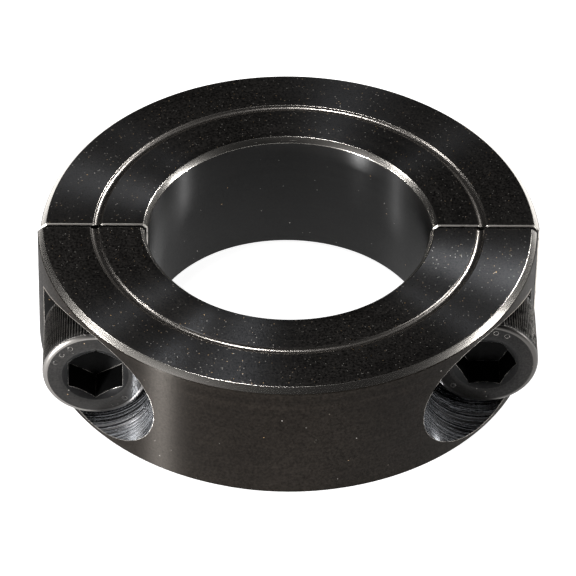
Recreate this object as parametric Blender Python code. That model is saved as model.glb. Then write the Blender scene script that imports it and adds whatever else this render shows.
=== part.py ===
"""Two-piece clamp-on shaft collar for a one-inch shaft: a threaded half, a
clearance half and two socket head cap screws.

Frame: the bore axis is +Z through the origin, the lower side face lies in
z = 0, the halves meet along the plane y = 0, and the screw heads face -Y.
Sizes are written in millimetres and turned into metres as they are used.
"""
import math

import bmesh
import bpy
from mathutils import Matrix, Vector

MM = 0.001

# The ring, as turned in one piece before it is sawn in two
OUTER_RADIUS = 22.225
BORE_RADIUS = 12.7
WIDTH = 12.5
OUTER_CHAMFER = 0.52
BORE_CHAMFER = 0.40
GROOVE_RADIUS = 17.14
GROOVE_WIDTH = 0.80
GROOVE_DEPTH = 0.35
RING_SEGMENTS = 120

# The saw cut takes SAW_KERF away, and the screws pull the halves back
# together until SPLIT_GAP is left, so each half's arcs are struck from a
# centre beyond the parting plane.
SAW_KERF = 1.80
SPLIT_GAP = 0.30
ARC_OFFSET = (SAW_KERF - SPLIT_GAP) / 2

# The screws fit their clearance holes loosely, and the two halves have come
# to rest this far out of line along X.
SIDE_SLIP = 0.25

# Quarter-inch, 28 threads per inch socket head cap screws, half an inch long
THREAD_PITCH = 25.4 / 28
THREAD_MAJOR_RADIUS = 3.175
THREAD_PITCH_RADIUS = THREAD_MAJOR_RADIUS - 0.3248 * THREAD_PITCH
SCREW_LENGTH = 12.70
HEAD_RADIUS = 4.65
HEAD_HEIGHT = 6.35
HEAD_EDGE = 0.42
SOCKET_ACROSS_FLATS = 4.7625
SOCKET_DEPTH = 3.05
SOCKET_MOUTH_RADIUS = 2.95
DRILL_POINT = 1.10
TIP_CHAMFER = 0.60
SCREW_SEGMENTS = 36

# Screw holes: a counterbore and a clearance hole in the front half, and a
# tapped hole, drawn at the thread's major radius, through the back half
COUNTERBORE_SPACING = 34.20
COUNTERBORE_RADIUS = 5.35
SEAT_DISTANCE = 4.40
CLEARANCE_RADIUS = 3.57
TAPPED_SPACING = 34.30
HOLE_SEGMENTS = 48

# How far each head's underside stands off its seat, and how each socket is
# turned: zero puts two of its corners level, thirty degrees two upright
SCREWS = {
    "left_cap_screw": {"side": -1, "stand_off": 2.05, "turned": 30},
    "right_cap_screw": {"side": 1, "stand_off": 0.45, "turned": 0},
}

BLACK_OXIDE_STEEL = ((0.030, 0.028, 0.027), 0.34, 1.0)
BLACK_OXIDE_SCREW = ((0.016, 0.016, 0.017), 0.30, 1.0)


def clear_scene():
    """Remove every object, so that the script starts from nothing."""
    for old in list(bpy.data.objects):
        bpy.data.objects.remove(old, do_unlink=True)


def make_material(name, finish):
    """Return a Principled material of one colour, roughness and metallic."""
    colour, roughness, metallic = finish
    material = bpy.data.materials.new(name)
    material.use_nodes = True
    shader = material.node_tree.nodes["Principled BSDF"]
    shader.inputs["Base Color"].default_value = (*colour, 1.0)
    shader.inputs["Roughness"].default_value = roughness
    shader.inputs["Metallic"].default_value = metallic
    return material


def add_object(name, mesh, material=None):
    """Put a mesh in the scene as an object with its own material."""
    item = bpy.data.objects.new(name, mesh)
    bpy.context.scene.collection.objects.link(item)
    if material:
        mesh.materials.append(material)
    return item


def finish_mesh(name, build, sharp_degrees=30):
    """Turn a bmesh into a mesh in metres, smooth but for its sharp edges."""
    bmesh.ops.scale(build, vec=(MM, MM, MM), verts=build.verts)
    bmesh.ops.recalc_face_normals(build, faces=build.faces)
    mesh = bpy.data.meshes.new(name)
    build.to_mesh(mesh)
    build.free()
    mesh.shade_smooth()
    mesh.set_sharp_from_angle(angle=math.radians(sharp_degrees))
    return mesh


def turned(profile, segments, closed=False):
    """Turn a profile of (radius, height) points once about +Z.

    An open profile starts and ends on the axis; a closed one is a ring.
    """
    build = bmesh.new()
    points = [build.verts.new((radius, 0, height)) for radius, height in profile]
    edges = [build.edges.new(pair) for pair in zip(points, points[1:])]
    if closed:
        edges.append(build.edges.new((points[-1], points[0])))
    bmesh.ops.spin(
        build,
        geom=points + edges,
        cent=(0, 0, 0),
        axis=(0, 0, 1),
        angle=math.tau,
        steps=segments,
        use_merge=True,
    )
    bmesh.ops.remove_doubles(build, verts=build.verts, dist=1e-4)
    return build


def ring_profile():
    """The ring's section: chamfered at its four corners, grooved on top."""
    groove_half = GROOVE_WIDTH / 2
    return [
        (OUTER_RADIUS - OUTER_CHAMFER, 0),
        (OUTER_RADIUS, OUTER_CHAMFER),
        (OUTER_RADIUS, WIDTH - OUTER_CHAMFER),
        (OUTER_RADIUS - OUTER_CHAMFER, WIDTH),
        (GROOVE_RADIUS + groove_half, WIDTH),
        (GROOVE_RADIUS, WIDTH - GROOVE_DEPTH),
        (GROOVE_RADIUS - groove_half, WIDTH),
        (BORE_RADIUS + BORE_CHAMFER, WIDTH),
        (BORE_RADIUS, WIDTH - BORE_CHAMFER),
        (BORE_RADIUS, BORE_CHAMFER),
        (BORE_RADIUS + BORE_CHAMFER, 0),
    ]


def add_cutter(name, build, location=(0, 0, 0), along_y=0):
    """Make a hidden wire cutter.

    along_y = -1 lays a cutter made along +Z down towards -Y, 1 towards +Y.
    """
    cutter = add_object(name, finish_mesh(name, build))
    cutter.location = Vector(location) * MM
    cutter.rotation_euler = (-along_y * math.pi / 2, 0, 0)
    cutter.hide_render = True
    cutter.display_type = "WIRE"
    return cutter


def hole_tool(radius, length):
    """A plain round cutter along +Z from the origin."""
    return turned([(0, 0), (radius, 0), (radius, length), (0, length)], HOLE_SEGMENTS)


def cut(item, cutter):
    """Subtract a cutter from an object with an exact Boolean."""
    modifier = item.modifiers.new(cutter.name, "BOOLEAN")
    modifier.operation = "DIFFERENCE"
    modifier.solver = "EXACT"
    modifier.object = cutter


def half_centre(facing):
    """Where a half's arcs are struck from; facing is 1 for the half at +Y."""
    return (facing * SIDE_SLIP / 2, -facing * ARC_OFFSET)


def tapped_hole_x(side):
    """The X of a tapped hole, and so of the screw in it; side is 1 or -1."""
    return half_centre(1)[0] + side * TAPPED_SPACING / 2


def counterbore_x(side):
    """The X of a counterbore and its clearance hole."""
    return half_centre(-1)[0] + side * COUNTERBORE_SPACING / 2


def make_half(name, facing):
    """Turn the ring and saw it, keeping the half on the facing side of y = 0.

    facing is 1 for the half at +Y and -1 for the half at -Y.
    """
    ring = turned(ring_profile(), RING_SEGMENTS, closed=True)
    centre = Matrix.Translation((*half_centre(facing), 0))
    bmesh.ops.transform(ring, matrix=centre, verts=ring.verts)
    material = make_material(name + "_black_oxide", BLACK_OXIDE_STEEL)
    half = add_object(name, finish_mesh(name, ring), material)

    saw = bmesh.new()
    bmesh.ops.create_cube(saw, size=1)
    reach = 3 * OUTER_RADIUS
    bmesh.ops.scale(saw, vec=(reach, reach, 2 * WIDTH), verts=saw.verts)
    middle = facing * (SPLIT_GAP / 2 - reach / 2)
    cut(half, add_cutter(name + "_saw", saw, (0, middle, WIDTH / 2)))
    return half


def make_threaded_half():
    """The back half, with a tapped hole through it for each screw."""
    half = make_half("threaded_half", 1)
    for label, screw in SCREWS.items():
        at = (tapped_hole_x(screw["side"]), -1, WIDTH / 2)
        tool = hole_tool(THREAD_MAJOR_RADIUS, OUTER_RADIUS)
        cut(half, add_cutter(label + "_tap", tool, at, 1))
    return half


def make_clearance_half():
    """The front half, with a clearance hole and a counterbore for each screw."""
    half = make_half("clearance_half", -1)
    for label, screw in SCREWS.items():
        x = counterbore_x(screw["side"])
        drill = hole_tool(CLEARANCE_RADIUS, SEAT_DISTANCE + 2)
        cut(half, add_cutter(label + "_drill", drill, (x, 1, WIDTH / 2), -1))
        bore = hole_tool(COUNTERBORE_RADIUS, OUTER_RADIUS)
        seat = (x, -SEAT_DISTANCE, WIDTH / 2)
        cut(half, add_cutter(label + "_counterbore", bore, seat, -1))
    return half


def socket_tool():
    """The hexagon socket with its drill point: mouth at z = 0, running down -Z."""
    corner = SOCKET_ACROSS_FLATS / math.sqrt(3)
    build = bmesh.new()
    rings = []
    for height in (1.0, -SOCKET_DEPTH):
        corners = []
        for k in range(6):
            angle = k * math.pi / 3
            place = (corner * math.cos(angle), corner * math.sin(angle), height)
            corners.append(build.verts.new(place))
        rings.append(corners)
    point = build.verts.new((0, 0, -SOCKET_DEPTH - DRILL_POINT))
    upper, lower = rings
    build.faces.new(upper)
    for k in range(6):
        build.faces.new((upper[k - 1], upper[k], lower[k], lower[k - 1]))
        build.faces.new((lower[k - 1], lower[k], point))
    return build


def mouth_tool():
    """The countersink round the socket's mouth, a cone with its rim at z = 0."""
    rim = SOCKET_MOUTH_RADIUS
    return turned([(0, -rim / 2), (rim, 0), (rim, 1), (0, 1)], SCREW_SEGMENTS)


def screw_profile():
    """The screw's section from its tip, below, to the middle of its head."""
    return [
        (0, -SCREW_LENGTH),
        (THREAD_PITCH_RADIUS - TIP_CHAMFER, -SCREW_LENGTH),
        (THREAD_PITCH_RADIUS, TIP_CHAMFER - SCREW_LENGTH),
        (THREAD_PITCH_RADIUS, 0),
        (HEAD_RADIUS, 0),
        (HEAD_RADIUS, HEAD_HEIGHT - HEAD_EDGE),
        (HEAD_RADIUS - HEAD_EDGE * 0.3, HEAD_HEIGHT - HEAD_EDGE * 0.3),
        (HEAD_RADIUS - HEAD_EDGE, HEAD_HEIGHT),
        (0, HEAD_HEIGHT),
    ]


def make_screw(label, screw):
    """One cap screw, its origin on its axis at the underside of its head."""
    body = turned(screw_profile(), SCREW_SEGMENTS)
    material = make_material(label + "_black_oxide", BLACK_OXIDE_SCREW)
    item = add_object(label, finish_mesh(label, body), material)

    y = -(SEAT_DISTANCE + screw["stand_off"])
    item.location = Vector((tapped_hole_x(screw["side"]), y, WIDTH / 2)) * MM
    item.rotation_euler = (math.pi / 2, 0, 0)

    for tool_name, tool in (("_broach", socket_tool()), ("_countersink", mouth_tool())):
        cutter = add_cutter(label + tool_name, tool)
        cutter.parent = item
        cutter.location = (0, 0, HEAD_HEIGHT * MM)
        cutter.rotation_euler = (0, 0, math.radians(screw["turned"]))
        cut(item, cutter)
    return item


clear_scene()
make_threaded_half()
make_clearance_half()
for screw_label, screw_place in SCREWS.items():
    make_screw(screw_label, screw_place)
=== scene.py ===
# %% [markdown]
# # A clamp-on shaft collar
# The collar is two half rings of black-oxide steel, drawn together round a
# shaft by two socket head cap screws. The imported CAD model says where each
# piece is and how it moves. This lesson replaces each of its four solids with
# a finer one, with the marks that turning, sawing, milling and knurling leave,
# and gives every surface a finish of its own.

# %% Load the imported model
import math

import bmesh
import bpy
from mathutils import Matrix, Vector


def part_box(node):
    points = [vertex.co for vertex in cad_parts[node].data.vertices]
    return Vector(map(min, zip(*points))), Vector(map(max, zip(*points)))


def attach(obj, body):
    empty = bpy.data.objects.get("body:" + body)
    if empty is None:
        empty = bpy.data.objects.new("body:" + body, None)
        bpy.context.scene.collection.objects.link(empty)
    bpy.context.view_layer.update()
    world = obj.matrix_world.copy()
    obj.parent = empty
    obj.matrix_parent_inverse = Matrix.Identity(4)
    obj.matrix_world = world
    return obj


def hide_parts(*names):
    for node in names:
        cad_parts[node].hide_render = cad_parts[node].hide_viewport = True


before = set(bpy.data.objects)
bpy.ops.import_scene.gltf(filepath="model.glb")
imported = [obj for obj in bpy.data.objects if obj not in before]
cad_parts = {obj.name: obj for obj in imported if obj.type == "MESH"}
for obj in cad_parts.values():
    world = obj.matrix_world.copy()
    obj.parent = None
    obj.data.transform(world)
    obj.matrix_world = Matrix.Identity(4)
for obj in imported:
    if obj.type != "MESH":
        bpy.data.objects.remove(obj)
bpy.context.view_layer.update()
MM = 0.001

# %% [markdown]
# ## What the CAD model says
# Every size that the CAD boxes hold is read from them. A half's box gives the
# chord of its outer arc, where the saw cut it, and the height of the arc over
# that chord, and from the two follows the arc's radius and centre. A screw's
# box gives its axis, its head's radius and how far it is screwed in. All
# lengths below are in millimetres.


# %% Read the halves and the screws
def box_mm(node):
    """A node's lowest and highest corners, in millimetres."""
    return [Vector(corner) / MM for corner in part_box(node)]


def read_half(node, facing):
    """The arc, the sawn face and the height of one half; facing is 1 at +Y."""
    low, high = box_mm(node)
    sawn = low.y if facing > 0 else high.y
    chord = (high.x - low.x) / 2
    rise = high.y - low.y
    radius = (chord**2 + rise**2) / (2 * rise)
    far = high.y if facing > 0 else low.y
    return {
        "facing": facing,
        "radius": radius,
        "centre": Vector(((low.x + high.x) / 2, far - facing * radius, 0)),
        "sawn": sawn,
        "height": high.z,
    }


def read_screw(node):
    """The axis, head radius, face and tip of one screw; the head faces -Y."""
    low, high = box_mm(node)
    return {
        "x": (low.x + high.x) / 2,
        "z": (low.z + high.z) / 2,
        "head_radius": (high.x - low.x) / 2,
        "face": low.y,
        "tip": high.y,
    }


back = read_half("threaded_half", 1)
front = read_half("clearance_half", -1)
screws = {"left": read_screw("left_cap_screw"), "right": read_screw("right_cap_screw")}
outer_radius = (back["radius"] + front["radius"]) / 2
width = back["height"]
print(f"outer radius {outer_radius:.3f}, width {width:.2f}, halves' centres",
      [tuple(round(c, 3) for c in half["centre"]) for half in (back, front)])
for side, screw in screws.items():
    print(side, {key: round(value, 3) for key, value in screw.items()})

# %% [markdown]
# ## Sizes that the boxes don't hold
# The bore, the chamfers, the groove and the screw holes are the design's own
# sizes. The thread is 28 turns to the inch, and its depth and flats are the
# shares of the pitch that the unified thread form sets.

# %% The design's sizes
BORE_RADIUS = 12.7
OUTER_CHAMFER = 0.52
BORE_CHAMFER = 0.40
GROOVE_RADIUS = 17.14
GROOVE_WIDTH = 0.80
GROOVE_DEPTH = 0.22
CORNER_ROUNDING = 0.05
CHAMFER_LIP = 0.10
EDGE_BREAK = 0.07
BURR_BREAK = 1.6 * EDGE_BREAK

COUNTERBORE_SPACING = 34.20
COUNTERBORE_RADIUS = 5.35
SEAT_DISTANCE = 4.40
CLEARANCE_RADIUS = 3.57
# How far up from a hole's floor its wall keeps the floor's finish; in the front half's holes that
# finish is the seat's painted shade.
DEEP_END = 3.0
RELIEF_DISTANCE = 8.4

PITCH = 25.4 / 28
THREAD_RADIUS = 3.175
THREAD_DEPTH = 0.5413 * PITCH
THREAD_PLAY = 0.04
SCREW_POINT = 0.60
THREAD_RUN_OUT = 1.2
HEAD_HEIGHT = 6.35
HEAD_ROUNDING = 0.45
HEAD_UNDERCUT = 0.25
SOCKET_FLATS = 4.7625
SOCKET_DEPTH = 3.05
SOCKET_POINT = 1.10
COUNTERSINK = 0.18
KNURL_TEETH = 108
KNURL_DEPTH = 0.13
PIP_CIRCLE = 3.75
PIP_RADIUS = 0.20
PIP_FLATNESS = 0.22

RING_STEPS = 360
HOLE_STEPS = 128
SHARP_ANGLE = math.radians(32)
WELD_REACH = 0.001

# %% [markdown]
# ## Helpers for node trees
# Shader trees and geometry trees are both long lists of small nodes. Three
# short helpers keep them readable: one adds a node and fills its sockets, one
# adds a maths node and hands back its result, and one opens a new group with
# named inputs and outputs.


# %% Node helpers
def fill(tree, socket, value):
    """Link a socket to another socket's output, or set its plain value."""
    if isinstance(value, bpy.types.NodeSocket):
        tree.links.new(value, socket)
    else:
        socket.default_value = value


def add_node(tree, kind, inputs=None, **settings):
    """Add a node, set its properties, then fill its inputs by name or index."""
    node = tree.nodes.new(kind)
    for name, value in settings.items():
        setattr(node, name, value)
    for key, value in (inputs or {}).items():
        fill(tree, node.inputs[key], value)
    return node


def maths(tree, operation, *values, clamp=False):
    """A maths node's result; it works in shader and geometry trees alike."""
    node = add_node(tree, "ShaderNodeMath", operation=operation, use_clamp=clamp)
    for socket, value in zip(node.inputs, values):
        fill(tree, socket, value)
    return node.outputs[0]


def new_group(name, kind, inputs, outputs):
    """A node group with (name, socket type, default) inputs and outputs."""
    tree = bpy.data.node_groups.new(name, kind)
    for label, socket_type, default in inputs:
        socket = tree.interface.new_socket(label, in_out="INPUT", socket_type=socket_type)
        if default is not None:
            socket.default_value = default
    for label, socket_type in outputs:
        tree.interface.new_socket(label, in_out="OUTPUT", socket_type=socket_type)
    return tree, tree.nodes.new("NodeGroupInput"), tree.nodes.new("NodeGroupOutput")


FLOAT, VECTOR, COLOUR = "NodeSocketFloat", "NodeSocketVector", "NodeSocketColor"

# %% [markdown]
# ## Marks that every finish shares
# A lathe tool leaves fine lines round the axis, no two quite alike. A
# one-dimensional noise along the direction in which the tool was fed gives
# just that: lines of random height, all at one place round the ring. A slow
# three-dimensional noise makes them waver a little.


# %% Turning marks
def turning_marks_group():
    """Fine lines of random height along one coordinate, given in millimetres."""
    tree, given, made = new_group(
        "turning_marks", "ShaderNodeTree",
        [("Along", FLOAT, 0.0), ("Spacing", FLOAT, 0.2), ("Position", VECTOR, None),
         ("Waver", FLOAT, 0.02)],
        [("Height", FLOAT), ("Tone", FLOAT)],
    )
    drift = add_node(tree, "ShaderNodeTexNoise", {
        "Vector": given.outputs["Position"], "Scale": 90.0, "Detail": 1.0})
    pushed = maths(tree, "MULTIPLY", drift.outputs["Fac"], given.outputs["Waver"])
    along = maths(tree, "ADD", given.outputs["Along"], pushed)
    step = maths(tree, "DIVIDE", along, given.outputs["Spacing"])
    fine = add_node(tree, "ShaderNodeTexNoise", {
        "W": step, "Scale": 1.0, "Detail": 2.0, "Roughness": 0.6}, noise_dimensions="1D")
    slow_step = maths(tree, "MULTIPLY", step, 0.13)
    slow = add_node(tree, "ShaderNodeTexNoise", {
        "W": slow_step, "Scale": 1.0, "Detail": 1.0}, noise_dimensions="1D")
    tree.links.new(fine.outputs["Fac"], made.inputs["Height"])
    both = maths(tree, "ADD", fine.outputs["Fac"], slow.outputs["Fac"])
    tree.links.new(maths(tree, "MULTIPLY", both, 0.5), made.inputs["Tone"])
    return tree


turning_marks = turning_marks_group()
print("group:", turning_marks.name)

# %% [markdown]
# Black oxide is a layer of tiny crystals, so it isn't even: a fine grain, with
# here and there a crystal facet or a speck of bare metal that catches the
# light. Voronoi cells are a good model of that. Every cell gets a random
# number, and only the few cells with the highest numbers become specks.


# %% Oxide grain
def oxide_grain_group():
    """Grain, specks and slow clouds; Size is a crystal's width in millimetres."""
    tree, given, made = new_group(
        "oxide_grain", "ShaderNodeTree",
        [("Position", VECTOR, None), ("Size", FLOAT, 0.1), ("Share", FLOAT, 0.04)],
        [("Grain", FLOAT), ("Specks", FLOAT), ("Clouds", FLOAT), ("Tint", FLOAT)],
    )
    scale = maths(tree, "DIVIDE", 1000.0, given.outputs["Size"])
    cells = add_node(tree, "ShaderNodeTexVoronoi", {
        "Vector": given.outputs["Position"], "Scale": scale, "Randomness": 1.0})
    pick = add_node(tree, "ShaderNodeSeparateColor", {0: cells.outputs["Color"]})
    least = maths(tree, "SUBTRACT", 1.0, given.outputs["Share"])
    chosen = maths(tree, "GREATER_THAN", pick.outputs[0], least)
    core = maths(tree, "LESS_THAN", cells.outputs["Distance"], 0.45)
    specks = maths(tree, "MULTIPLY", chosen, core)
    specks = maths(tree, "MULTIPLY", specks, pick.outputs[1])
    half = maths(tree, "MULTIPLY", scale, 0.5)
    grain = add_node(tree, "ShaderNodeTexNoise", {
        "Vector": given.outputs["Position"], "Scale": half, "Detail": 3.0, "Roughness": 0.7})
    clouds = add_node(tree, "ShaderNodeTexNoise", {
        "Vector": given.outputs["Position"], "Scale": 160.0, "Detail": 3.0})
    tree.links.new(grain.outputs["Fac"], made.inputs["Grain"])
    tree.links.new(specks, made.inputs["Specks"])
    tree.links.new(clouds.outputs["Fac"], made.inputs["Clouds"])
    tree.links.new(pick.outputs[2], made.inputs["Tint"])
    return tree


oxide_grain = oxide_grain_group()
print("group:", oxide_grain.name)

# %% [markdown]
# An edge is where the oxide rubs off first. Cycles' Bevel node gives the
# normal that a slightly rounded edge would have. Where that differs from the
# true normal there is an edge, and a noise makes the worn line break up.


# %% Edge wear
def edge_wear_group():
    """A mask of worn edges: Reach is in metres, and Amount widens the wear."""
    tree, given, made = new_group(
        "edge_wear", "ShaderNodeTree",
        [("Position", VECTOR, None), ("Reach", FLOAT, 0.0001), ("Amount", FLOAT, 1.0)],
        [("Mask", FLOAT)],
    )
    rounded = add_node(tree, "ShaderNodeBevel", {"Radius": given.outputs["Reach"]}, samples=6)
    surface = add_node(tree, "ShaderNodeNewGeometry")
    turn = add_node(tree, "ShaderNodeVectorMath", operation="DOT_PRODUCT")
    tree.links.new(rounded.outputs["Normal"], turn.inputs[0])
    tree.links.new(surface.outputs["Normal"], turn.inputs[1])
    bend = maths(tree, "SUBTRACT", 1.0, turn.outputs["Value"])
    breakup = add_node(tree, "ShaderNodeTexNoise", {
        "Vector": given.outputs["Position"], "Scale": 1500.0, "Detail": 3.0})
    uneven = add_node(tree, "ShaderNodeMapRange", {
        "Value": breakup.outputs["Fac"], "From Min": 0.35, "From Max": 0.65,
        "To Min": 0.2, "To Max": 1.6})
    raw = maths(tree, "MULTIPLY", bend, uneven.outputs["Result"])
    raw = maths(tree, "MULTIPLY", raw, given.outputs["Amount"])
    mask = add_node(tree, "ShaderNodeMapRange", {
        "Value": raw, "From Min": 0.02, "From Max": 0.14}, interpolation_type="SMOOTHSTEP")
    tree.links.new(mask.outputs["Result"], made.inputs["Mask"])
    return tree


edge_wear = edge_wear_group()
print("group:", edge_wear.name)

# %% [markdown]
# ## The steel's finishes
# One function builds every finish, because they are all the same stuff: dark
# oxide over bright steel, cut with marks that run round some axis. What
# differs is the axis, whether the marks follow one another along it or
# outwards from it, how deep they are, and how much bare metal shows.
#
# Marks that run round an axis make a surface reflect like a gramophone
# record: a light stretches into a streak across the marks. The shader's
# Anisotropic value does that, with its tangent laid across the marks. A
# cutter that lifts a little between its grooves leaves marks with one steeper
# side; `lean` tips the normals outwards by that much.


# %% Where a point is, seen from a turning axis
def round_axis(tree, centre, axis):
    """Millimetres along and out from an axis, the two directions, and the position."""
    place = add_node(tree, "ShaderNodeTexCoord").outputs["Object"]
    offset = add_node(tree, "ShaderNodeVectorMath", {0: place, 1: centre * MM},
                      operation="SUBTRACT").outputs[0]
    flat = Vector((1, 1, 1)) - axis
    outward = add_node(tree, "ShaderNodeVectorMath", {0: offset, 1: flat},
                       operation="MULTIPLY").outputs[0]
    out = add_node(tree, "ShaderNodeVectorMath", {0: outward}, operation="LENGTH").outputs["Value"]
    along = add_node(tree, "ShaderNodeVectorMath", {0: offset, 1: axis},
                     operation="DOT_PRODUCT").outputs["Value"]
    outward = add_node(tree, "ShaderNodeVectorMath", {0: outward}, operation="NORMALIZE").outputs[0]
    return {
        "along": maths(tree, "MULTIPLY", along, 1 / MM),
        "out": maths(tree, "MULTIPLY", out, 1 / MM),
        "outward": outward,
        "axis": add_node(tree, "ShaderNodeCombineXYZ", dict(enumerate(axis))).outputs[0],
        "position": place,
    }


# %% One finish
UP = Vector((0, 0, 1))
FORWARD = Vector((0, 1, 0))
OXIDE = (0.0095, 0.0088, 0.0082)
STEEL = (0.60, 0.57, 0.53)
GOLD = (0.75, 0.48, 0.22)
WEAR_REACH = 0.12


def mix_colour(tree, share, first, second):
    """Blend two colours by a share."""
    node = add_node(tree, "ShaderNodeMix", data_type="RGBA")
    for key, value in ((0, share), (6, first), (7, second)):
        if isinstance(value, tuple):
            value = (*value, 1.0)
        fill(tree, node.inputs[key], value)
    return node.outputs[2]


def mix_number(tree, share, first, second):
    """Blend two numbers by a share."""
    node = add_node(tree, "ShaderNodeMix", data_type="FLOAT")
    for key, value in ((0, share), (2, first), (3, second)):
        fill(tree, node.inputs[key], value)
    return node.outputs[0]


def steel_finish(name, centre, axis, across, *, tint=OXIDE, bare=STEEL, bare_share=0.0,
                 roughness=0.42, bare_roughness=0.3, anisotropic=1.0, lean=0.0, spacing=0.12,
                 mark_depth=0.004, grain_size=0.11, grain_depth=0.010, speck_share=0.02,
                 mottle=0.6, lines=0.0, specular=0.3, sheen_tint=(1, 1, 1), wear=1.0):
    """A finish of oxide over steel. Marks follow one another 'along' or 'out'."""
    material = bpy.data.materials.new(name)
    material.use_nodes = True
    tree = material.node_tree
    shader = tree.nodes["Principled BSDF"]
    spot = round_axis(tree, centre, axis)

    marks = add_node(tree, "ShaderNodeGroup", node_tree=turning_marks)
    grain = add_node(tree, "ShaderNodeGroup", node_tree=oxide_grain)
    worn = add_node(tree, "ShaderNodeGroup", node_tree=edge_wear)
    for node in (marks, grain, worn):
        tree.links.new(spot["position"], node.inputs["Position"])
    tree.links.new(spot[across], marks.inputs["Along"])
    marks.inputs["Spacing"].default_value = spacing
    grain.inputs["Size"].default_value = grain_size
    grain.inputs["Share"].default_value = speck_share
    worn.inputs["Reach"].default_value = WEAR_REACH * MM
    worn.inputs["Amount"].default_value = wear

    bared = maths(tree, "MAXIMUM", worn.outputs["Mask"], grain.outputs["Specks"])
    if bare_share > 0:
        patch = add_node(tree, "ShaderNodeMapRange", {
            "Value": mix_number(tree, lines, grain.outputs["Grain"], marks.outputs["Height"]),
            "From Min": 0.72 - 0.5 * bare_share, "From Max": 0.80 - 0.5 * bare_share})
        bared = maths(tree, "MAXIMUM", bared, patch.outputs["Result"])

    tone = add_node(tree, "ShaderNodeMapRange", {
        "Value": maths(tree, "ADD", grain.outputs["Clouds"], marks.outputs["Tone"]),
        "From Min": 0.7, "From Max": 1.3, "To Min": 0.65, "To Max": 1.35})
    coarse = add_node(tree, "ShaderNodeMapRange", {
        "Value": grain.outputs["Grain"], "From Min": 0.36, "From Max": 0.64,
        "To Min": 1.0 - 0.75 * mottle, "To Max": 1.0 + 1.3 * mottle})
    shade = maths(tree, "MULTIPLY", tone.outputs["Result"], coarse.outputs["Result"])
    oxide = add_node(tree, "ShaderNodeVectorMath", {0: tint}, operation="SCALE")
    tree.links.new(shade, oxide.inputs["Scale"])
    golden = maths(tree, "GREATER_THAN", grain.outputs["Tint"], 0.7)
    golden = maths(tree, "MULTIPLY", golden, grain.outputs["Specks"])
    metal = mix_colour(tree, golden, bare, GOLD)
    colour = mix_colour(tree, bared, oxide.outputs[0], metal)
    tree.links.new(colour, shader.inputs["Base Color"])
    tree.links.new(bared, shader.inputs["Metallic"])

    rough = add_node(tree, "ShaderNodeMapRange", {
        "Value": grain.outputs["Grain"], "From Min": 0.3, "From Max": 0.7,
        "To Min": roughness * (1 + 0.4 * mottle), "To Max": roughness * (1 - 0.4 * mottle)})
    rough = mix_number(tree, bared, rough.outputs["Result"], bare_roughness)
    tree.links.new(rough, shader.inputs["Roughness"])

    mark_bump = add_node(tree, "ShaderNodeBump", {
        "Height": marks.outputs["Height"], "Distance": mark_depth * MM, "Strength": 1.0})
    grain_bump = add_node(tree, "ShaderNodeBump", {
        "Height": grain.outputs["Grain"], "Distance": grain_depth * MM, "Strength": 1.0,
        "Normal": mark_bump.outputs["Normal"]})
    leaning = add_node(tree, "ShaderNodeVectorMath", {
        0: spot["outward"], 1: (lean, lean, lean), 2: grain_bump.outputs["Normal"]},
        operation="MULTIPLY_ADD")
    straight = add_node(tree, "ShaderNodeVectorMath", {0: leaning.outputs[0]},
                        operation="NORMALIZE")
    tree.links.new(straight.outputs[0], shader.inputs["Normal"])

    shader.inputs["Specular IOR Level"].default_value = specular
    shader.inputs["Specular Tint"].default_value = (*sheen_tint, 1)
    shader.inputs["Anisotropic"].default_value = anisotropic
    across_marks = spot["outward" if across == "out" else "axis"]
    tree.links.new(across_marks, shader.inputs["Tangent"])
    return material
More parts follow.
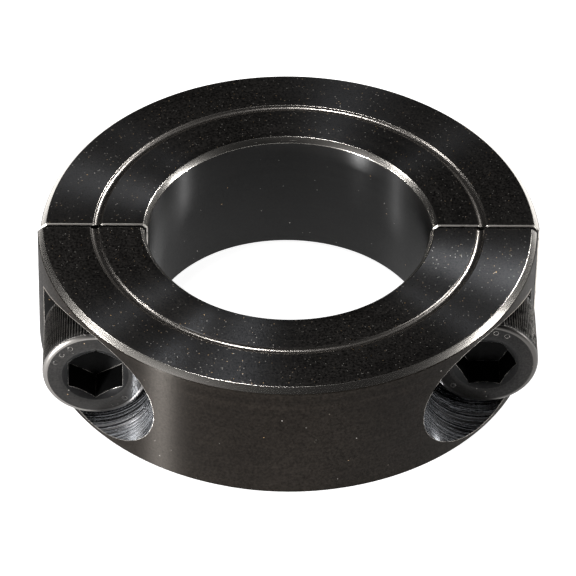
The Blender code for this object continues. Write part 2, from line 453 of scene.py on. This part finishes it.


# %% [markdown]
# ## What finish goes where
# A half has ten finishes: nine for the tools that touched it, and one of
# painted shade. The flat faces were turned with the cutter moving out, so
# their marks follow one another outwards; the wall and the bore have theirs
# along the axis. The upper chamfers and the groove were handled most and are
# rubbed to bright metal. The sawn ends, their burr, the milled counterbores,
# the seats deep inside them and the tapped threads turn about the screws'
# direction instead. The seats' finish is painted shade: a near-black tint,
# with little specular, on the clearance holes and the deep end of each
# counterbore.


# %% The halves' finishes
def half_finishes(label, half):
    """A half's ten finishes, in the order of their slots."""
    centre = half["centre"]
    return {
        "face": steel_finish(label + "_turned_face", centre, UP, "out", lean=0.10,
                             roughness=0.38, mark_depth=0.002, grain_depth=0.008,
                             speck_share=0.03, mottle=1.0, specular=0.34,
                             sheen_tint=(0.90, 0.93, 1.0)),
        "wall": steel_finish(label + "_turned_wall", centre, UP, "along", spacing=0.10,
                             tint=(0.0056, 0.0045, 0.0036), mark_depth=0.005, specular=0.13,
                             sheen_tint=(1.0, 0.91, 0.82), grain_depth=0.002,
                             speck_share=0.001, mottle=0.5),
        "bore": steel_finish(label + "_reamed_bore", centre, UP, "along", roughness=0.44,
                             tint=(0.0050, 0.0047, 0.0045), specular=0.42, spacing=0.08,
                             mark_depth=0.002, grain_depth=0.001, speck_share=0.001,
                             mottle=0.2),
        "edge": steel_finish(label + "_bright_edge", centre, UP, "along", bare_share=0.88,
                             roughness=0.34, bare_roughness=0.25, anisotropic=0.3, lines=0.8,
                             spacing=0.14, mark_depth=0.003, grain_size=0.30,
                             grain_depth=0.0015, speck_share=0.0),
        "groove": steel_finish(label + "_scribed_groove", centre, UP, "out",
                               bare=(0.44, 0.41, 0.38), bare_share=1.0,
                               bare_roughness=0.27, anisotropic=0.0, spacing=0.3,
                               mark_depth=0.003, grain_size=0.3, speck_share=0.0, wear=0.3),
        "burr": steel_finish(label + "_saw_burr", centre, FORWARD, "out", bare_share=0.8,
                             bare_roughness=0.5, anisotropic=0.0, spacing=0.3,
                             grain_size=0.25, grain_depth=0.03, speck_share=0.0),
        "sawn": steel_finish(label + "_sawn_face", centre, FORWARD, "out", roughness=0.5,
                             anisotropic=0.4, spacing=0.3, mark_depth=0.01, speck_share=0.05),
        "milled": steel_finish(label + "_milled_hole", centre, FORWARD, "along",
                               tint=(0.010, 0.010, 0.011), bare=(0.72, 0.74, 0.78),
                               bare_share=0.58, roughness=0.24, bare_roughness=0.16,
                               anisotropic=0.6, lines=0.8, spacing=0.40, mark_depth=0.030,
                               grain_size=0.25, grain_depth=0.010, speck_share=0.01),
        # Painted shade: a near-black tint with a low specular level, for the clearance holes and
        # the deep end of each counterbore, where shade falls.
        "seat": steel_finish(label + "_screw_seat", centre, FORWARD, "out",
                             tint=(0.004, 0.004, 0.004), specular=0.15),
        "thread": steel_finish(label + "_tapped_thread", centre, FORWARD, "along",
                               roughness=0.4, anisotropic=0.3, wear=0.6),
    }


finishes = {"back": half_finishes("back", back), "front": half_finishes("front", front)}
print("finishes:", [m.name for group in finishes.values() for m in group.values()])

# %% [markdown]
# ## Turned shapes
# Everything here starts on a lathe, so one function turns any profile of
# (radius, height) points about +Z. Real corners are never sharp: `soften`
# swaps each corner of a profile for a small arc, and carries over the finish
# of the stretch that follows it.


# %% Profiles and turning
def soften(profile, radius, steps=3):
    """Round the corners of a closed profile of (radius, height, finish) points."""
    rounded = []
    befores, afters = profile[-1:] + profile[:-1], profile[1:] + profile[:1]
    for before, here, after in zip(befores, profile, afters):
        corner = Vector(here[:2])
        to_before = Vector(before[:2]) - corner
        to_after = Vector(after[:2]) - corner
        reach = min(radius, 0.45 * to_before.length, 0.45 * to_after.length)
        start = corner + to_before.normalized() * reach
        end = corner + to_after.normalized() * reach
        for k in range(steps + 1):
            t = k / steps
            point = start.lerp(corner, t).lerp(corner.lerp(end, t), t)
            finish = here[2]
            if k < steps and "edge" in (before[2], here[2]):
                finish = "edge"
            rounded.append((point.x, point.y, finish))
    return rounded


def turn(profile, steps, slots, closed=True):
    """Turn a profile about +Z; an open profile starts and ends on the axis."""
    build = bmesh.new()
    rings = []
    for radius, height, _ in profile:
        if radius < 1e-9:
            rings.append([build.verts.new((0, 0, height))])
            continue
        ring = []
        for k in range(steps):
            angle = math.tau * k / steps
            x, y = radius * math.cos(angle), radius * math.sin(angle)
            ring.append(build.verts.new((x, y, height)))
        rings.append(ring)
    pairs = list(zip(rings, rings[1:], profile))
    if closed:
        pairs.append((rings[-1], rings[0], profile[-1]))
    for lower, upper, (_, _, finish) in pairs:
        for k in range(steps):
            if len(lower) == 1:
                corners = [lower[0], upper[k], upper[k - 1]]
            elif len(upper) == 1:
                corners = [lower[k - 1], lower[k], upper[0]]
            else:
                corners = [lower[k - 1], lower[k], upper[k], upper[k - 1]]
            build.faces.new(corners).material_index = slots[finish]
    bmesh.ops.recalc_face_normals(build, faces=build.faces)
    return build


def to_object(name, build, materials):
    """Make an object, in metres and shaded smooth, from a bmesh in millimetres."""
    bmesh.ops.scale(build, vec=(MM, MM, MM), verts=build.verts)
    mesh = bpy.data.meshes.new(name)
    build.to_mesh(mesh)
    build.free()
    for material in materials:
        mesh.materials.append(material)
    mesh.shade_smooth()
    mesh.set_sharp_from_angle(angle=SHARP_ANGLE)
    item = bpy.data.objects.new(name, mesh)
    bpy.context.scene.collection.objects.link(item)
    return item


def bake_modifiers(item):
    """Swap an object's mesh for what its modifiers make of it, and drop them."""
    depsgraph = bpy.context.evaluated_depsgraph_get()
    mesh = bpy.data.meshes.new_from_object(item.evaluated_get(depsgraph))
    item.modifiers.clear()
    item.data = mesh
    return mesh


def cut(item, cutter, operation="DIFFERENCE"):
    """Cut one object with another, which is then thrown away."""
    modifier = item.modifiers.new("cut", "BOOLEAN")
    modifier.operation = operation
    modifier.solver = "EXACT"
    modifier.material_mode = "TRANSFER"
    modifier.object = cutter
    bake_modifiers(item)
    bpy.data.objects.remove(cutter)


def place(item, origin):
    """Lay a piece made along +Z down towards -Y, at a place in millimetres."""
    turned_over = Matrix.Rotation(math.pi / 2, 4, "X")
    item.data.transform(Matrix.Translation(Vector(origin) * MM) @ turned_over)


# %% [markdown]
# ## The thread
# A thread is a rule: the surface's height depends only on where a point is
# along the axis, less the share of a turn that it lies round it. So a
# Geometry Nodes tree takes a plain turned blank and moves its points in to
# that height. The same tree makes the screw and, a little larger, the tap
# that cuts the hole, so that the two mesh at every turn.


# %% The thread tree
def thread_tree():
    """Cut a right-hand thread into a blank that was turned about +Z."""
    tree, given, made = new_group(
        "cut_thread", "GeometryNodeTree",
        [("Geometry", "NodeSocketGeometry", None), ("Pitch", FLOAT, 0.001),
         ("Crest Radius", FLOAT, 0.003), ("Depth", FLOAT, 0.0005),
         ("Top", FLOAT, 0.0), ("Run-out", FLOAT, 0.001),
         ("Material", "NodeSocketMaterial", None)],
        [("Geometry", "NodeSocketGeometry")],
    )
    place_node = add_node(tree, "GeometryNodeInputPosition")
    xyz = add_node(tree, "ShaderNodeSeparateXYZ", {0: place_node.outputs[0]})
    x, y, z = xyz.outputs
    turn_share = maths(tree, "DIVIDE", maths(tree, "ARCTAN2", y, x), math.tau)
    pitches = maths(tree, "DIVIDE", z, given.outputs["Pitch"])
    phase = maths(tree, "FRACT", maths(tree, "SUBTRACT", pitches, turn_share))
    ramp = maths(tree, "ABSOLUTE", maths(tree, "MULTIPLY_ADD", phase, 2.0, -1.0))
    root_flat, crest_flat = 0.25, 0.875
    above_root = maths(tree, "SUBTRACT", ramp, root_flat)
    height = maths(tree, "DIVIDE", above_root, crest_flat - root_flat, clamp=True)
    below = maths(tree, "SUBTRACT", given.outputs["Top"], z)
    fade = maths(tree, "DIVIDE", below, given.outputs["Run-out"], clamp=True)
    cut_in = maths(tree, "MULTIPLY", maths(tree, "SUBTRACT", 1.0, height), fade)
    cut_in = maths(tree, "MULTIPLY", cut_in, given.outputs["Depth"])
    wanted = maths(tree, "SUBTRACT", given.outputs["Crest Radius"], cut_in)
    flat = add_node(tree, "ShaderNodeCombineXYZ", {0: x, 1: y})
    radius = add_node(tree, "ShaderNodeVectorMath", {0: flat.outputs[0]}, operation="LENGTH")
    radius = maths(tree, "MAXIMUM", radius.outputs["Value"], 1e-9)
    share = maths(tree, "MINIMUM", maths(tree, "DIVIDE", wanted, radius), 1.0)
    new_x, new_y = maths(tree, "MULTIPLY", x, share), maths(tree, "MULTIPLY", y, share)
    moved = add_node(tree, "ShaderNodeCombineXYZ", {0: new_x, 1: new_y, 2: z})
    shaped = add_node(tree, "GeometryNodeSetPosition", {
        "Geometry": given.outputs["Geometry"], "Position": moved.outputs[0]})
    real = add_node(tree, "GeometryNodeRealizeInstances", {0: shaped.outputs[0]})
    dressed = add_node(tree, "GeometryNodeSetMaterial", {
        "Geometry": real.outputs[0], "Material": given.outputs["Material"]})
    tree.links.new(dressed.outputs[0], made.inputs[0])
    return tree


cut_thread = thread_tree()


def apply_tree(item, tree, values):
    """Run a geometry tree on an object with named values, and keep the result."""
    modifier = item.modifiers.new(tree.name, "NODES")
    modifier.node_group = tree
    for socket in tree.interface.items_tree:
        if socket.item_type == "SOCKET" and socket.name in values:
            modifier[socket.identifier] = values[socket.name]
    bake_modifiers(item)


def threaded_rod(name, radius, depth, bottom, top, run_out, material, point=0.0,
                 columns=72, rows_per_pitch=14):
    """A rod about +Z with a thread, its lower end chamfered by point."""
    rows = round((top - bottom) / PITCH * rows_per_pitch)
    profile = [(0, bottom, "thread"), (radius - point, bottom, "thread")]
    for k in range(rows + 1):
        height = bottom + (top - bottom) * k / rows
        reach = radius - max(0.0, point - (height - bottom))
        if k > 0 or point == 0:
            profile.append((reach, height, "thread"))
    profile.append((0, top, "thread"))
    if point == 0:
        profile.pop(1)
    build = turn(profile, columns, {"thread": 0}, closed=False)
    rod = to_object(name, build, [material])
    apply_tree(rod, cut_thread, {
        "Pitch": PITCH * MM, "Crest Radius": radius * MM, "Depth": depth * MM,
        "Top": top * MM + run_out * MM, "Run-out": max(run_out, 0.001) * MM,
        "Material": material})
    return rod


print("tree:", cut_thread.name)

# %% [markdown]
# ## The half rings
# The ring is turned whole: two side faces, the outer wall, the bore, a
# chamfer on each of its four corners, and on the upper face a narrow groove
# that shows which way up the two halves belong. Then it is sawn in two. The
# bisect leaves two flat ends, and an inset that also pushes them out gives
# their edges a small break, as a file would.


# %% Turn the ring and saw it
def ring_profile():
    """The ring's section, each point with the finish of the stretch after it."""
    half_width, r = GROOVE_WIDTH / 2, outer_radius
    arc_radius = (half_width**2 + GROOVE_DEPTH**2) / (2 * GROOVE_DEPTH)
    groove = []
    for k in range(9):
        across = half_width * (1 - k / 4)
        drop = math.sqrt(arc_radius**2 - across**2) - (arc_radius - GROOVE_DEPTH)
        groove.append((GROOVE_RADIUS + across, width - drop, "groove"))
    groove[-1] = (*groove[-1][:2], "face")
    return [
        (r - OUTER_CHAMFER, 0, "wall"),
        (r, OUTER_CHAMFER, "wall"),
        (r, width - OUTER_CHAMFER, "wall"),
        (r - CHAMFER_LIP, width - OUTER_CHAMFER + CHAMFER_LIP, "edge"),
        (r - OUTER_CHAMFER, width, "face"),
        *groove,
        (BORE_RADIUS + BORE_CHAMFER, width, "edge"),
        (BORE_RADIUS, width - BORE_CHAMFER, "bore"),
        (BORE_RADIUS, BORE_CHAMFER, "bore"),
        (BORE_RADIUS + BORE_CHAMFER, 0, "face"),
    ]


def sawn_half(name, half, materials, edge_break, broken_finish):
    """Turn the ring about the half's own centre and keep one side of the cut."""
    slots = {finish: k for k, finish in enumerate(materials)}
    ring = turn(soften(ring_profile(), CORNER_ROUNDING), RING_STEPS, slots)
    bmesh.ops.translate(ring, vec=half["centre"], verts=ring.verts)
    facing = half["facing"]
    everything = ring.verts[:] + ring.edges[:] + ring.faces[:]
    bmesh.ops.bisect_plane(
        ring, geom=everything, dist=1e-6, clear_inner=True,
        plane_co=(0, half["sawn"] + facing * edge_break, 0), plane_no=(0, facing, 0))
    rim = [edge for edge in ring.edges if edge.is_boundary]
    ends = bmesh.ops.edgenet_fill(ring, edges=rim)["faces"]
    for end in ends:
        end.material_index = slots["sawn"]
    bmesh.ops.recalc_face_normals(ring, faces=ring.faces)
    broken = bmesh.ops.inset_region(
        ring, faces=ends, thickness=edge_break, depth=edge_break,
        use_even_offset=True, use_boundary=True)["faces"]
    for face in broken:
        face.material_index = slots[broken_finish]
    return to_object(name, ring, list(materials.values()))


def hole_cutter(radius, length, wall, floor):
    """A round cutter along +Z from the origin; its deep end has the floor's finish, which in the
    front half is the seat's painted shade.
    """
    profile = [
        (0, 0, "floor"),
        (radius, 0, "floor"),
        (radius, DEEP_END, "wall"),
        (radius, length, "wall"),
        (0, length, "wall"),
    ]
    build = turn(profile, HOLE_STEPS, {"wall": 0, "floor": 1}, closed=False)
    return to_object("cutter", build, [wall, floor])


back_ring = sawn_half("threaded_half_ring", back, finishes["back"], BURR_BREAK, "burr")
front_ring = sawn_half("clearance_half_ring", front, finishes["front"], EDGE_BREAK, "sawn")
print("sawn halves:", len(back_ring.data.polygons), len(front_ring.data.polygons), "faces")

# %% [markdown]
# ## The screw holes
# The front half has a drilled clearance hole on each side and, from the
# front, a flat-bottomed counterbore that swallows the screw's head. The
# counterbore is so near the edge that it breaks out through the side. The
# back half is tapped right through, and the tap used here is the thread tree
# run on a slightly larger rod. Past the screw's tip the hole is drilled out
# to the thread's full size, or the tap would leave feathered edges where it
# comes out through the round wall.

# %% Drill, counterbore and tap
# The drilled holes and the counterbores' deep ends take the seat's painted shade.
milled, seat = finishes["front"]["milled"], finishes["front"]["seat"]
thread = finishes["back"]["thread"]
for side, screw in screws.items():
    sign = -1 if side == "left" else 1
    hole_x = front["centre"].x + sign * COUNTERBORE_SPACING / 2
    drill = hole_cutter(CLEARANCE_RADIUS, SEAT_DISTANCE + 2, seat, seat)
    place(drill, (hole_x, 1, screw["z"]))
    cut(front_ring, drill)
    counterbore = hole_cutter(COUNTERBORE_RADIUS, outer_radius, milled, seat)
    place(counterbore, (hole_x, -SEAT_DISTANCE, screw["z"]))
    cut(front_ring, counterbore)

    underside = screw["face"] + HEAD_HEIGHT
    tap = threaded_rod(
        "tap", THREAD_RADIUS + THREAD_PLAY, THREAD_DEPTH, -(outer_radius - underside),
        underside + 1, 0, thread, columns=60, rows_per_pitch=10)
    place(tap, (screw["x"], underside, screw["z"]))
    cut(back_ring, tap)
    relief = hole_cutter(THREAD_RADIUS + 2 * THREAD_PLAY, outer_radius - RELIEF_DISTANCE,
                         thread, thread)
    place(relief, (screw["x"], outer_radius, screw["z"]))
    cut(back_ring, relief)
print("cut halves:", len(back_ring.data.polygons), len(front_ring.data.polygons), "faces")

# %% [markdown]
# ## The cap screws
# A cap screw's head is knurled so that fingers can start it. The knurl is
# again a rule round the axis, so a second small tree presses it into a turned
# head. The hexagon socket is broached, with a countersink at its mouth and a
# drill point at its foot. The rounded rim is the part that hands and tools
# rub, so it has a finish of its own. Small plain pips stand where a maker
# would put a grade mark. They are added last, after the Boolean cuts, because
# a cut through shells that overlap may keep or lose them.


# %% The knurl tree
def knurl_tree():
    """Press a straight knurl into a head that was turned about +Z."""
    tree, given, made = new_group(
        "press_knurl", "GeometryNodeTree",
        [("Geometry", "NodeSocketGeometry", None), ("Teeth", FLOAT, 100.0),
         ("Depth", FLOAT, 0.0001), ("Low End", FLOAT, 0.0), ("High End", FLOAT, 0.005),
         ("Fade", FLOAT, 0.0003), ("Material", "NodeSocketMaterial", None)],
        [("Geometry", "NodeSocketGeometry")],
    )
    place_node = add_node(tree, "GeometryNodeInputPosition")
    xyz = add_node(tree, "ShaderNodeSeparateXYZ", {0: place_node.outputs[0]})
    x, y, z = xyz.outputs
    angle = maths(tree, "DIVIDE", maths(tree, "ARCTAN2", y, x), math.tau)
    tooth = maths(tree, "FRACT", maths(tree, "MULTIPLY", angle, given.outputs["Teeth"]))
    valley = maths(tree, "ABSOLUTE", maths(tree, "MULTIPLY_ADD", tooth, 2.0, -1.0))
    from_low = maths(tree, "SUBTRACT", z, given.outputs["Low End"])
    from_high = maths(tree, "SUBTRACT", given.outputs["High End"], z)
    nearest = maths(tree, "MINIMUM", from_low, from_high)
    fade = maths(tree, "DIVIDE", nearest, given.outputs["Fade"], clamp=True)
    depth = maths(tree, "MULTIPLY", maths(tree, "MULTIPLY", valley, fade), given.outputs["Depth"])
    flat = add_node(tree, "ShaderNodeCombineXYZ", {0: x, 1: y})
    inward = add_node(tree, "ShaderNodeVectorMath", {0: flat.outputs[0]}, operation="NORMALIZE")
    step = add_node(tree, "ShaderNodeVectorMath", {0: inward.outputs[0]}, operation="SCALE")
    tree.links.new(maths(tree, "MULTIPLY", depth, -1.0), step.inputs["Scale"])
    pressed = add_node(tree, "GeometryNodeSetPosition", {
        "Geometry": given.outputs["Geometry"], "Offset": step.outputs[0]})
    real = add_node(tree, "GeometryNodeRealizeInstances", {0: pressed.outputs[0]})
    dressed = add_node(tree, "GeometryNodeSetMaterial", {
        "Geometry": real.outputs[0], "Material": given.outputs["Material"]})
    tree.links.new(dressed.outputs[0], made.inputs[0])
    return tree


press_knurl = knurl_tree()
print("tree:", press_knurl.name)


# %% Turn, knurl and broach a screw
def head_profile(radius):
    """The head's section: underside, knurled side, rounded rim, top face."""
    e = HEAD_ROUNDING
    low, high = HEAD_UNDERCUT, HEAD_HEIGHT - e
    points = [(0, -0.5), (2.6, -0.5), (2.6, 0.0), (radius - low, 0), (radius, low)]
    rows = 14
    points += [(radius, low + (high - low) * k / rows) for k in range(1, rows + 1)]
    arc = 6
    for k in range(1, arc + 1):
        a = math.pi / 2 * k / arc
        points.append((radius - e + e * math.cos(a), high + e * math.sin(a)))
    points += [(3.4, HEAD_HEIGHT), (0, HEAD_HEIGHT)]
    return [(r, z, "head") for r, z in points]


def socket_cutters(turned_degrees, material):
    """The broached hexagon with its drill point, and the countersink."""
    corner = SOCKET_FLATS / math.sqrt(3)
    build = bmesh.new()
    rings = []
    for height in (HEAD_HEIGHT + 1, HEAD_HEIGHT - SOCKET_DEPTH):
        ring = []
        for k in range(6):
            a = math.radians(turned_degrees) + k * math.pi / 3
            ring.append(build.verts.new((corner * math.cos(a), corner * math.sin(a), height)))
        rings.append(ring)
    point = build.verts.new((0, 0, HEAD_HEIGHT - SOCKET_DEPTH - SOCKET_POINT))
    upper, lower = rings
    build.faces.new(upper)
    for k in range(6):
        build.faces.new((upper[k - 1], upper[k], lower[k], lower[k - 1]))
        build.faces.new((lower[k - 1], lower[k], point))
    bmesh.ops.recalc_face_normals(build, faces=build.faces)
    hexagon = to_object("broach", build, [material])
    mouth = corner + COUNTERSINK
    cone = [(0, HEAD_HEIGHT - mouth * 0.6), (mouth, HEAD_HEIGHT), (mouth + 0.6, HEAD_HEIGHT + 1),
            (0, HEAD_HEIGHT + 1)]
    build = turn([(r, z, "cone") for r, z in cone], 96, {"cone": 0}, closed=False)
    return hexagon, to_object("countersink", build, [material])


def wear_rim(piece, radius, material):
    """Give the rounded rim of the head its own finish."""
    piece.data.materials.append(material)
    slot = len(piece.data.materials) - 1
    for face in piece.data.polygons:
        middle = face.center / MM
        high_enough = middle.z > HEAD_HEIGHT - 0.8 * HEAD_ROUNDING
        if high_enough and middle.xy.length > radius - HEAD_ROUNDING:
            face.material_index = slot


def raise_pips(piece, angles):
    """Add small raised pips to the head's face at the given angles."""
    build = bmesh.new()
    build.from_mesh(piece.data)
    for angle in angles:
        a = math.radians(angle)
        spot = Vector((PIP_CIRCLE * math.cos(a), PIP_CIRCLE * math.sin(a), HEAD_HEIGHT)) * MM
        flatten = Matrix.Translation(spot) @ Matrix.Diagonal((1, 1, PIP_FLATNESS, 1))
        bmesh.ops.create_uvsphere(build, u_segments=16, v_segments=8,
                                  radius=PIP_RADIUS * MM, matrix=flatten)
    build.to_mesh(piece.data)
    build.free()


def make_screw(name, screw, turned_degrees, pips, rub_and_painted_light):
    """One cap screw, in place. The last value, from 0 to 1, raises the rim's bare tone and the
    oxide's specular level: partly a rubbed rim, partly painted light, since a low value paints the
    screw darker as if it stood in shade.
    """
    axis_point = Vector((screw["x"], 0, screw["z"]))
    finish = steel_finish(name + "_oxide", axis_point, FORWARD, "out", roughness=0.36,
                          anisotropic=0.3, mark_depth=0.002, grain_depth=0.005,
                          specular=0.1 + 0.15 * rub_and_painted_light, speck_share=0.006, wear=0.6)
    # The socket's near-black tint, far below the head's oxide, is painted shade in the hollow.
    dark = steel_finish(name + "_socket", axis_point, FORWARD, "along", roughness=0.4,
                        anisotropic=0.2, tint=(0.002, 0.002, 0.002), speck_share=0.0,
                        specular=0.12, wear=0.5)
    # The rim's bare tone: rub and painted light together.
    tone = 0.06 + 0.20 * rub_and_painted_light
    rim = steel_finish(name + "_worn_rim_painted_light", axis_point, FORWARD, "along", bare_share=0.9,
                       bare=(tone, 0.95 * tone, 0.9 * tone), bare_roughness=0.36,
                       anisotropic=0.2, lines=0.2, spacing=0.2, grain_size=0.25,
                       grain_depth=0.003, wear=0.0)
    build = turn(head_profile(screw["head_radius"]), KNURL_TEETH * 6, {"head": 0}, closed=False)
    piece = to_object(name, build, [finish])
    apply_tree(piece, press_knurl, {
        "Teeth": float(KNURL_TEETH), "Depth": KNURL_DEPTH * MM, "Low End": 0.1 * MM,
        "High End": (HEAD_HEIGHT - HEAD_UNDERCUT) * MM, "Fade": 0.45 * MM, "Material": finish})
    for cutter in socket_cutters(turned_degrees, dark):
        cut(piece, cutter)
    wear_rim(piece, screw["head_radius"], rim)
    length = screw["tip"] - screw["face"] - HEAD_HEIGHT
    shank = threaded_rod(name + "_shank", THREAD_RADIUS, THREAD_DEPTH, -length, 0.3,
                         THREAD_RUN_OUT, finish, point=SCREW_POINT)
    cut(piece, shank, "UNION")
    raise_pips(piece, pips)
    place(piece, (screw["x"], screw["face"] + HEAD_HEIGHT, screw["z"]))
    return piece


# The right screw's low value paints it darker, as if in shade; the left's higher value is partly a
# rubbed rim and partly painted light.
left_screw = make_screw("left_screw_knurled", screws["left"], 30, (125, 141, 157, 313), 0.7)
right_screw = make_screw("right_screw_knurled", screws["right"], 0, (62, 78, 94, 223), 0.1)
print("screws:", len(left_screw.data.polygons), len(right_screw.data.polygons), "faces")

# %% [markdown]
# ## Hand the pieces to the frame
# A Boolean cut leaves slivers thinner than a hair where two surfaces all but
# meet, so each piece is welded first. Then it says which CAD solid it stands
# for, which body carries it, and which slot of the record its finish is for.

# %% Ride and replace
PIECES = [
    (back_ring, "threaded_half", "collar_steel"),
    (front_ring, "clearance_half", "collar_steel"),
    (left_screw, "left_cap_screw", "screw_steel"),
    (right_screw, "right_cap_screw", "screw_steel"),
]


def weld(mesh):
    """Merge points that all but coincide, drop slivers, and count the open edges."""
    build = bmesh.new()
    build.from_mesh(mesh)
    bmesh.ops.remove_doubles(build, verts=build.verts, dist=WELD_REACH * MM)
    bmesh.ops.dissolve_degenerate(build, edges=build.edges, dist=WELD_REACH * MM)
    build.to_mesh(mesh)
    open_edges = sum(1 for edge in build.edges if not edge.is_manifold)
    build.free()
    return open_edges


for piece, node, slot in PIECES:
    open_edges = weld(piece.data)
    piece.data.shade_smooth()
    piece.data.set_sharp_from_angle(angle=SHARP_ANGLE)
    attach(piece, node)
    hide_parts(node)
    triangles = sum(len(p.vertices) - 2 for p in piece.data.polygons)
    print(piece.name, "stands for", node, "with", triangles, "triangles,",
          open_edges, "open edges")


# %% [markdown]
# ## The stage
# The floor is a pale light table, which glows enough to thin out the shadows.
# It lies a hair below the collar, so that the two never share a plane. The
# collar is nearly black, so what shows its shape is what it mirrors: one
# small softbox for each streak of light, and darkness between them.

# %% Floor
FLOOR_GLOW = 0.95
FLOOR_SIZE = 1500
FLOOR_GAP = 0.02
floor_build = bmesh.new()
bmesh.ops.create_grid(floor_build, x_segments=1, y_segments=1, size=FLOOR_SIZE)
bmesh.ops.translate(floor_build, vec=(0, 0, -FLOOR_GAP), verts=floor_build.verts)
floor_paint = bpy.data.materials.new("pale_floor")
floor_paint.use_nodes = True
floor_shader = floor_paint.node_tree.nodes["Principled BSDF"]
floor_shader.inputs["Base Color"].default_value = (0.9, 0.9, 0.9, 1)
floor_shader.inputs["Roughness"].default_value = 0.9
floor_shader.inputs["Specular IOR Level"].default_value = 0.0
floor_shader.inputs["Emission Color"].default_value = (1, 1, 1, 1)
floor_shader.inputs["Emission Strength"].default_value = FLOOR_GLOW
floor = to_object("floor", floor_build, [floor_paint])
print("floor glow:", FLOOR_GLOW)

# %% Lights
LAMP_DISTANCE = 500


def add_softbox(name, azimuth, elevation, size, power):
    """A rectangular area light aimed at the collar. Azimuth 0 is on the +X side."""
    data = bpy.data.lights.new(name, "AREA")
    data.shape = "RECTANGLE"
    data.size, data.size_y = (side * MM for side in size)
    data.energy = power
    lamp = bpy.data.objects.new(name, data)
    bpy.context.scene.collection.objects.link(lamp)
    a, e = math.radians(azimuth), math.radians(elevation)
    direction = Vector((math.cos(a) * math.cos(e), math.sin(a) * math.cos(e), math.sin(e)))
    lamp.location = direction * LAMP_DISTANCE * MM
    lamp.rotation_euler = direction.to_track_quat("Z", "Y").to_euler()
    return lamp


SOFTBOXES = [
    ("overhead", 172, 80, (70, 70), 0.55),
    ("back_right", 42, 38, (70, 70), 0.95),
    ("left_low", 219, 4, (60, 50), 5.8),
    ("left_front", 218, 14, (80, 80), 0.25),
    ("left_high", 172, 41, (80, 80), 0.25),
    ("left_strip", 185, 18, (25, 70), 0.7),
    ("right_strip", 354, 14, (25, 70), 1.1),
    ("right_high", 4, 24, (80, 80), 0.18),
]
for name, azimuth, elevation, size, power in SOFTBOXES:
    add_softbox(name + "_softbox", azimuth, elevation, size, power)

world = bpy.data.worlds.new("studio")
world.use_nodes = True
background = world.node_tree.nodes["Background"]
background.inputs["Color"].default_value = (0.5, 0.5, 0.5, 1)
background.inputs["Strength"].default_value = 0.01
bpy.context.scene.world = world
bpy.context.scene.view_settings.view_transform = "Standard"
print("softboxes:", [name for name, *_ in SOFTBOXES])

# %% [markdown]
# ## The camera
# A long lens, some way off and above, looking at the front of the collar.

# %% Camera
CAMERA_ELEVATION = 41.79
CAMERA_AZIMUTH = -1.315
CAMERA_ROLL = 1.104
CAMERA_DISTANCE = 20.3953 * outer_radius
LENS = 315.68
AIM = Vector((0.013, 0.0, 5.138))

camera_data = bpy.data.cameras.new("camera")
camera_data.lens = LENS
camera_data.sensor_width = 36.0
camera_data.clip_start = 0.01
camera_data.clip_end = 10.0
camera = bpy.data.objects.new("camera", camera_data)
bpy.context.scene.collection.objects.link(camera)
azimuth, elevation = math.radians(CAMERA_AZIMUTH), math.radians(CAMERA_ELEVATION)
towards_camera = Vector((
    math.sin(azimuth) * math.cos(elevation),
    -math.cos(azimuth) * math.cos(elevation),
    math.sin(elevation)))
camera.location = (AIM + towards_camera * CAMERA_DISTANCE) * MM
level = (-towards_camera).to_track_quat("-Z", "Y").to_matrix().to_4x4()
rolled = level @ Matrix.Rotation(math.radians(CAMERA_ROLL), 4, "Z")
camera.rotation_euler = rolled.to_euler()
bpy.context.scene.camera = camera
print("camera at", tuple(round(c, 3) for c in camera.location))
